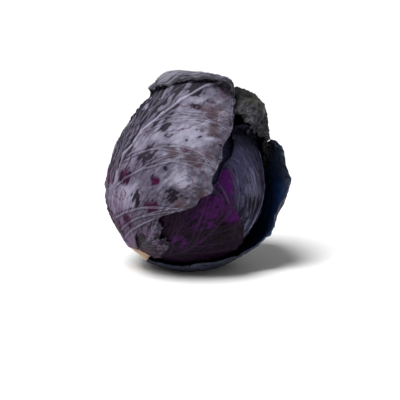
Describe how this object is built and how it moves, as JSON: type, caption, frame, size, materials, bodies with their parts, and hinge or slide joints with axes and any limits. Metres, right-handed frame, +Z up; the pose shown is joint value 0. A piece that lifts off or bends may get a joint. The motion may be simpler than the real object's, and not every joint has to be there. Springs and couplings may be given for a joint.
{
  "type": "cabbage head",
  "caption": "A red cabbage head: a tight round heart on a cut stem, wrapped in loose outer leaves with flared and rolled rims, lying tilted on a small flat spot.",
  "frame": {"origin": "under the middle of the whole head, on the surface that it rests on", "axes": "+Z up, +X to the right and +Y to the back as the head lies, with its front wrapper leaf facing -Y and its stem low on the left"},
  "size_m": [0.1684, 0.1546, 0.1833],
  "materials": {
    "heart": "semi-gloss waxy leaf",
    "stem": "matt, freshly cut",
    "wrapper_leaf": "semi-gloss leaf under a grey waxy bloom",
    "inner_leaf": "glossy leaf"
  },
  "bodies": {
    "root": {"heart": "heart", "stem": "stem", "front_wrapper_leaf": "wrapper_leaf", "crown_wrapper_leaf": "wrapper_leaf", "back_wrapper_leaf": "wrapper_leaf", "right_leaf": "inner_leaf", "lower_front_leaf": "inner_leaf", "torn_lower_leaf": "wrapper_leaf"}
  },
  "joints": []
}
